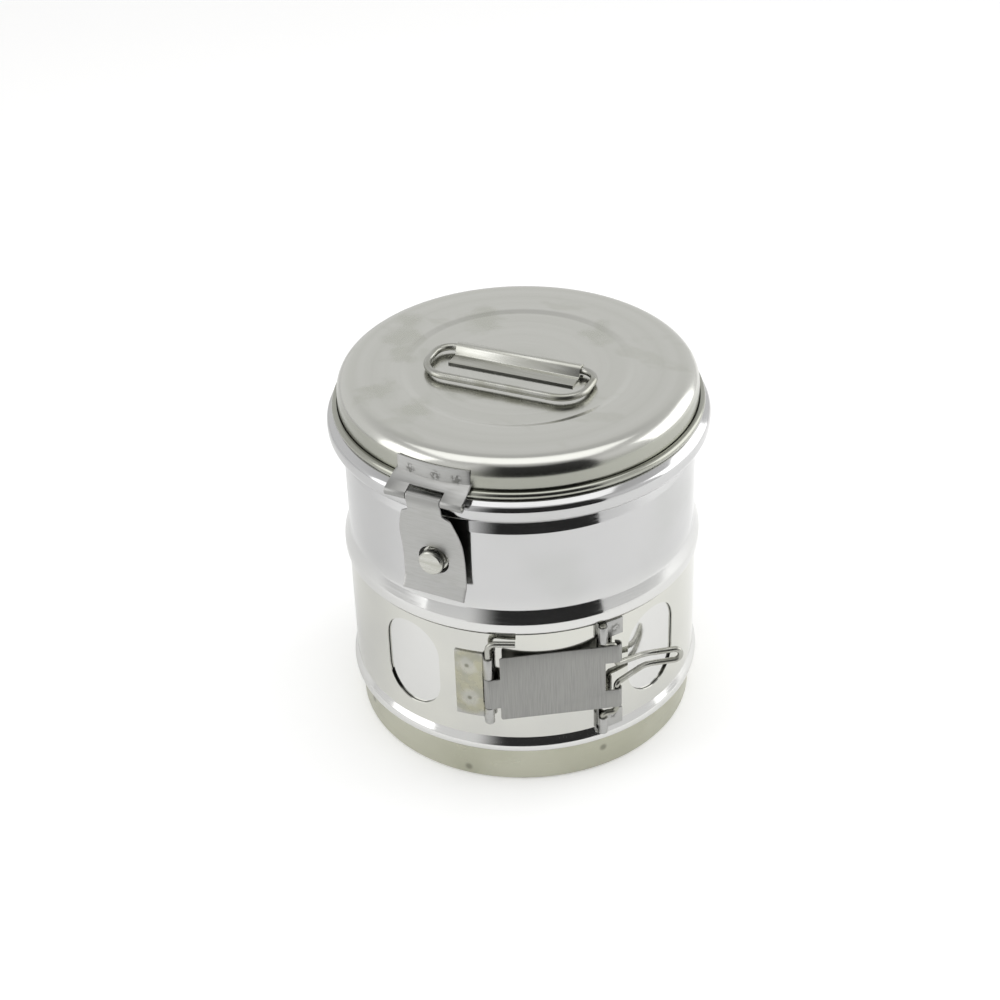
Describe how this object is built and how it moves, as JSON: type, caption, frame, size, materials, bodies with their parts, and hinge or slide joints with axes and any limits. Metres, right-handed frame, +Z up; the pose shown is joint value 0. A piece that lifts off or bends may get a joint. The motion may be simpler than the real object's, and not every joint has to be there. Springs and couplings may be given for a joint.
{
  "type": "sterilization container",
  "caption": "Round stainless steel dressing drum for steam sterilizing, with hinged lid, hasp, folding wire handle and a turning vent band with a toggle clasp.",
  "frame": {"origin": "centre of the foot ring's underside, on the drum's axis", "axes": "+Z up along the drum's axis, -Y to the front where the hasp is, +Y to the lid hinge, +X to the side of the band's clasp"},
  "size_m": [0.1672, 0.1712, 0.1675],
  "materials": {
    "drum_sheet": "satin, fine grain round the drum",
    "lid_sheet": "polished, faint circular grain",
    "fittings": "brushed",
    "bright_wire": "bright polished steel wire"
  },
  "bodies": {
    "drum": {"drum_wall": "drum_sheet", "drum_bottom": "drum_sheet", "foot_ring": "drum_sheet", "hasp_stud": "bright_wire", "drum_hinge_leaf": "fittings"},
    "lid": {"lid_shell": "lid_sheet", "lid_hinge_leaf": "fittings", "lid_hinge_pin": "bright_wire", "handle_clip": "fittings", "hasp_bracket": "fittings", "hasp_pin": "bright_wire"},
    "handle": {"handle_loop": "bright_wire"},
    "hasp": {"hasp_plate": "fittings"},
    "band": {"vent_band": "drum_sheet", "upper_end_knuckle": "fittings", "lower_end_knuckle": "fittings", "clasp_bracket": "fittings", "clasp_pin": "bright_wire"},
    "plate": {"clasp_plate": "fittings"},
    "lever": {"clasp_lever": "bright_wire"}
  },
  "joints": [
    {"name": "lid_hinge", "type": "hinge", "parent": "drum", "child": "lid", "pos_m": [0, 0.0836, 0.1472], "axis": [-1, 0, 0], "range_deg": [0, 120]},
    {"name": "hasp_swing", "type": "hinge", "parent": "lid", "child": "hasp", "pos_m": [0, -0.0836, 0.1472], "axis": [-1, 0, 0], "range_deg": [0, 150]},
    {"name": "handle_fold", "type": "hinge", "parent": "lid", "child": "handle", "pos_m": [-0.00015, 0.0024, 0.16493], "axis": [-0.9981, -0.0611, 0], "range_deg": [0, 175]},
    {"name": "band_turn", "type": "hinge", "parent": "drum", "child": "band", "pos_m": [0, 0, 0.0523], "axis": [0, 0, 1], "continuous": true},
    {"name": "lever_swing", "type": "hinge", "parent": "band", "child": "lever", "pos_m": [0.06101, -0.04904, 0.054], "axis": [0, 0, -1], "range_deg": [0, 88]},
    {"name": "plate_swing", "type": "hinge", "parent": "band", "child": "plate", "pos_m": [0.02137, -0.07628, 0.054], "axis": [0, 0, -1], "range_deg": [0, 9.1]}
  ],
  "couplings": [
    {"joint": "plate_swing", "follows": "lever_swing", "ratio": 0.1023}
  ]
}
